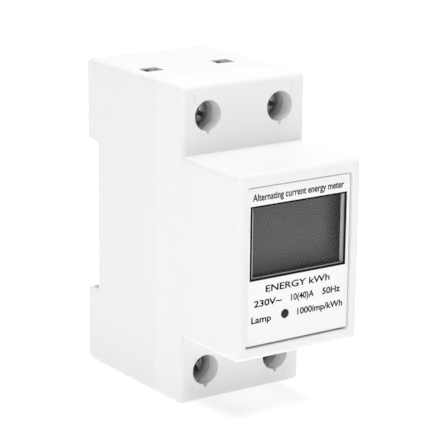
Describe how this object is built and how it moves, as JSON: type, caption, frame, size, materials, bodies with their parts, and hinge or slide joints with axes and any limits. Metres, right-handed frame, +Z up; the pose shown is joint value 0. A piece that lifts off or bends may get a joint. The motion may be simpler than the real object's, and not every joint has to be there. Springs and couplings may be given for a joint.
{
  "type": "electricity meter",
  "caption": "Narrow white rail-mounted electricity meter with a display behind a window, a stepped front, screw clamp terminals and a sliding rail clip.",
  "frame": {"origin": "middle of the raised pad in the rail recess, where the back of the meter rests on the front of the rail", "axes": "+X across the meter to the right as seen from the front, +Y back into the rail, +Z up along the meter"},
  "size_m": [0.036, 0.0665, 0.0786],
  "materials": {
    "case_plastic": "fine moulded satin",
    "label_film": "printed film, satin",
    "black_plastic": "smooth",
    "clear_pane": "polished",
    "display_glass": "polariser, smooth",
    "lamp_plastic": "smooth tinted",
    "board_laminate": "solder resist",
    "plated_steel": "zinc plated",
    "brass": "stamped",
    "copper": "rolled copper",
    "shunt_alloy": "rolled resistance alloy",
    "capacitor_yellow": "moulded case",
    "disc_blue": "dipped epoxy",
    "dark_plastic": "moulded epoxy",
    "resistor_body": "lacquered",
    "grey_rubber": "soft",
    "clip_plastic": "moulded"
  },
  "bodies": {
    "case": {"rear_base": "case_plastic", "front_cover": "case_plastic", "faceplate": "label_film", "window_frame": "black_plastic", "display_window": "clear_pane", "lcd_panel": "display_glass", "lcd_holder": "case_plastic", "lcd_contact_strip_upper": "grey_rubber", "lcd_contact_strip_lower": "grey_rubber", "display_board": "board_laminate", "display_board_screw_left": "plated_steel", "display_board_screw_right": "plated_steel", "display_controller_chip": "dark_plastic", "pulse_led": "lamp_plastic", "main_board": "board_laminate", "main_board_screw_upper": "plated_steel", "main_board_screw_lower": "plated_steel", "film_capacitor": "capacitor_yellow", "varistor": "disc_blue", "reservoir_capacitor_large": "dark_plastic", "reservoir_capacitor_small": "dark_plastic", "metering_chip": "dark_plastic", "crystal": "plated_steel", "dropper_resistor": "resistor_body", "board_socket_main": "black_plastic", "board_socket_display": "black_plastic", "ribbon_cable": "grey_rubber", "neutral_bar": "copper", "live_bar_upper": "copper", "live_bar_lower": "copper", "measuring_shunt": "shunt_alloy", "sense_pin_upper": "brass", "sense_pin_lower": "brass", "sense_pin_neutral": "brass", "terminal_retainer_upper": "case_plastic", "terminal_retainer_lower": "case_plastic", "din_clip_spring": "plated_steel", "case_screw": "plated_steel"},
    "din_clip": {"din_clip": "clip_plastic"},
    "screw_upper_left": {"terminal_screw_upper_left": "plated_steel"},
    "screw_upper_right": {"terminal_screw_upper_right": "plated_steel"},
    "screw_lower_left": {"terminal_screw_lower_left": "plated_steel"},
    "screw_lower_right": {"terminal_screw_lower_right": "plated_steel"},
    "cage_upper_left": {"clamp_cage_upper_left": "brass"},
    "cage_upper_right": {"clamp_cage_upper_right": "brass"},
    "cage_lower_left": {"clamp_cage_lower_left": "brass"},
    "cage_lower_right": {"clamp_cage_lower_right": "brass"}
  },
  "joints": [
    {"name": "din_clip_slide", "type": "slide", "parent": "case", "child": "din_clip", "axis": [0, 0, -1], "range_m": [0, 0.0045], "stiffness_N_per_m": 1000, "springref_m": -0.002, "deforming": ["din_clip_spring"]},
    {"name": "screw_upper_left_turn", "type": "hinge", "parent": "case", "child": "screw_upper_left", "pos_m": [-0.01045, -0.0324, 0.03165], "axis": [0, 1, 0], "range_deg": [0, 2160]},
    {"name": "screw_upper_right_turn", "type": "hinge", "parent": "case", "child": "screw_upper_right", "pos_m": [0.01045, -0.0324, 0.03165], "axis": [0, 1, 0], "range_deg": [0, 2160]},
    {"name": "screw_lower_left_turn", "type": "hinge", "parent": "case", "child": "screw_lower_left", "pos_m": [-0.01045, -0.0324, -0.03165], "axis": [0, 1, 0], "range_deg": [0, 2160]},
    {"name": "screw_lower_right_turn", "type": "hinge", "parent": "case", "child": "screw_lower_right", "pos_m": [0.01045, -0.0324, -0.03165], "axis": [0, 1, 0], "range_deg": [0, 2160]},
    {"name": "cage_upper_left_lift", "type": "slide", "parent": "case", "child": "cage_upper_left", "axis": [0, -1, 0], "range_m": [0, 0.0042]},
    {"name": "cage_upper_right_lift", "type": "slide", "parent": "case", "child": "cage_upper_right", "axis": [0, -1, 0], "range_m": [0, 0.0042]},
    {"name": "cage_lower_left_lift", "type": "slide", "parent": "case", "child": "cage_lower_left", "axis": [0, -1, 0], "range_m": [0, 0.0042]},
    {"name": "cage_lower_right_lift", "type": "slide", "parent": "case", "child": "cage_lower_right", "axis": [0, -1, 0], "range_m": [0, 0.0042]}
  ],
  "couplings": [
    {"joint": "screw_upper_left_turn", "follows": "cage_upper_left_lift", "rad_per_m": 8976},
    {"joint": "screw_upper_right_turn", "follows": "cage_upper_right_lift", "rad_per_m": 8976},
    {"joint": "screw_lower_left_turn", "follows": "cage_lower_left_lift", "rad_per_m": 8976},
    {"joint": "screw_lower_right_turn", "follows": "cage_lower_right_lift", "rad_per_m": 8976}
  ]
}
